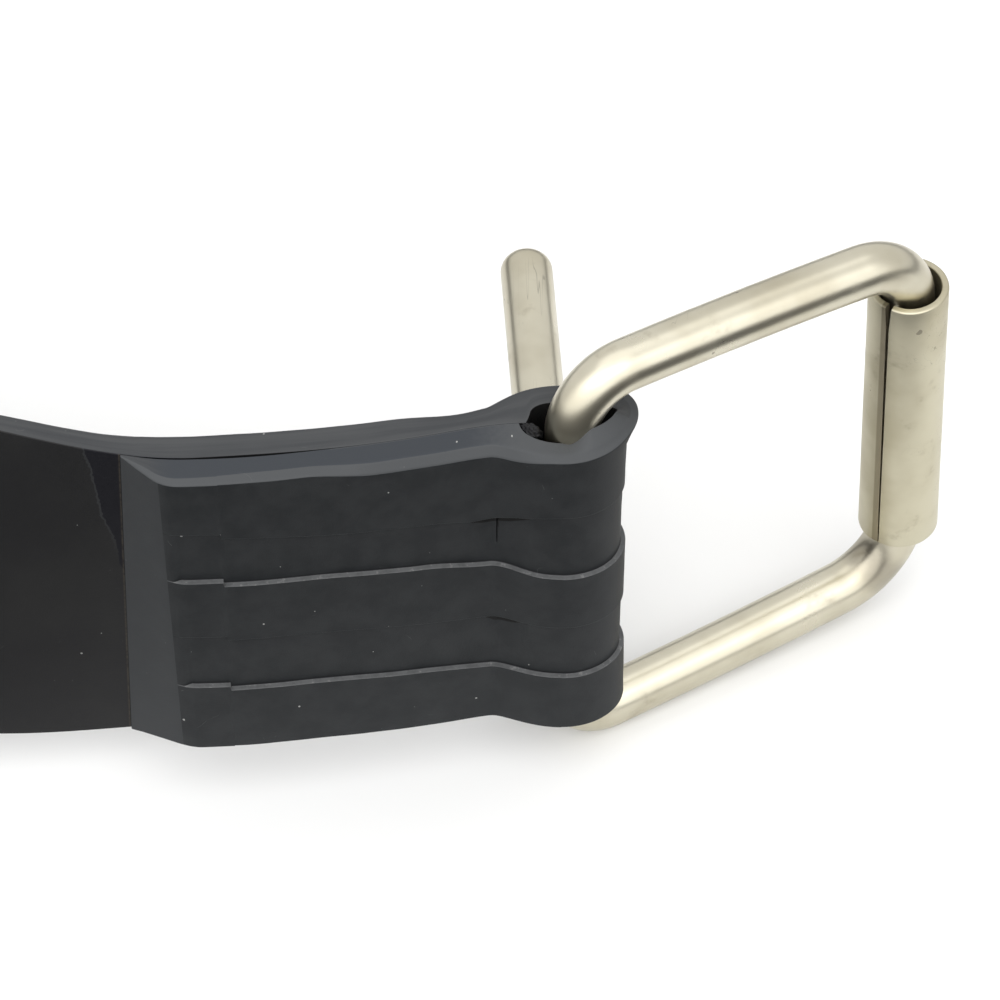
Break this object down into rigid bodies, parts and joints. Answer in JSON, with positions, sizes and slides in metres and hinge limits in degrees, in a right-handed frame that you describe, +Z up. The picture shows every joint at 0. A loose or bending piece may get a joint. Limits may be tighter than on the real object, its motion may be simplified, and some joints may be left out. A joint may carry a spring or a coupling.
{
  "type": "dive weight belt",
  "caption": "Ribbed rubber dive weight belt folded over a bent-wire buckle with a swinging tongue and a free-turning split roller, laid on edge in an open loop.",
  "frame": {"origin": "plan position of the vertical buckle bar's axis, at the level of the floor the belt stands on", "axes": "+Z up, parallel to the buckle bar and along the strap's width; -X along the folded end away from the buckle; +Y towards the inside of the open loop and the tongue"},
  "size_m": [0.5212, 0.3146, 0.07],
  "materials": {
    "rubber": "matt moulded rubber",
    "steel": "satin stainless wire and sheet"
  },
  "bodies": {
    "strap": {"strap": "rubber"},
    "frame": {"buckle_frame": "steel"},
    "roller": {"roller": "steel"},
    "tongue": {"tongue": "steel"}
  },
  "joints": [
    {"name": "frame_hinge", "type": "hinge", "parent": "strap", "child": "frame", "pos_m": [0, 0, 0.0353], "axis": [0, 0, 1], "range_deg": [-180, 3]},
    {"name": "tongue_hinge", "type": "hinge", "parent": "strap", "child": "tongue", "pos_m": [0, 0, 0.0352], "axis": [0, 0, 1], "range_deg": [-51.5, 24]},
    {"name": "roller_spin", "type": "hinge", "parent": "frame", "child": "roller", "pos_m": [0.04406, 0.02647, 0.0362], "axis": [0, 0, 1], "continuous": true}
  ]
}
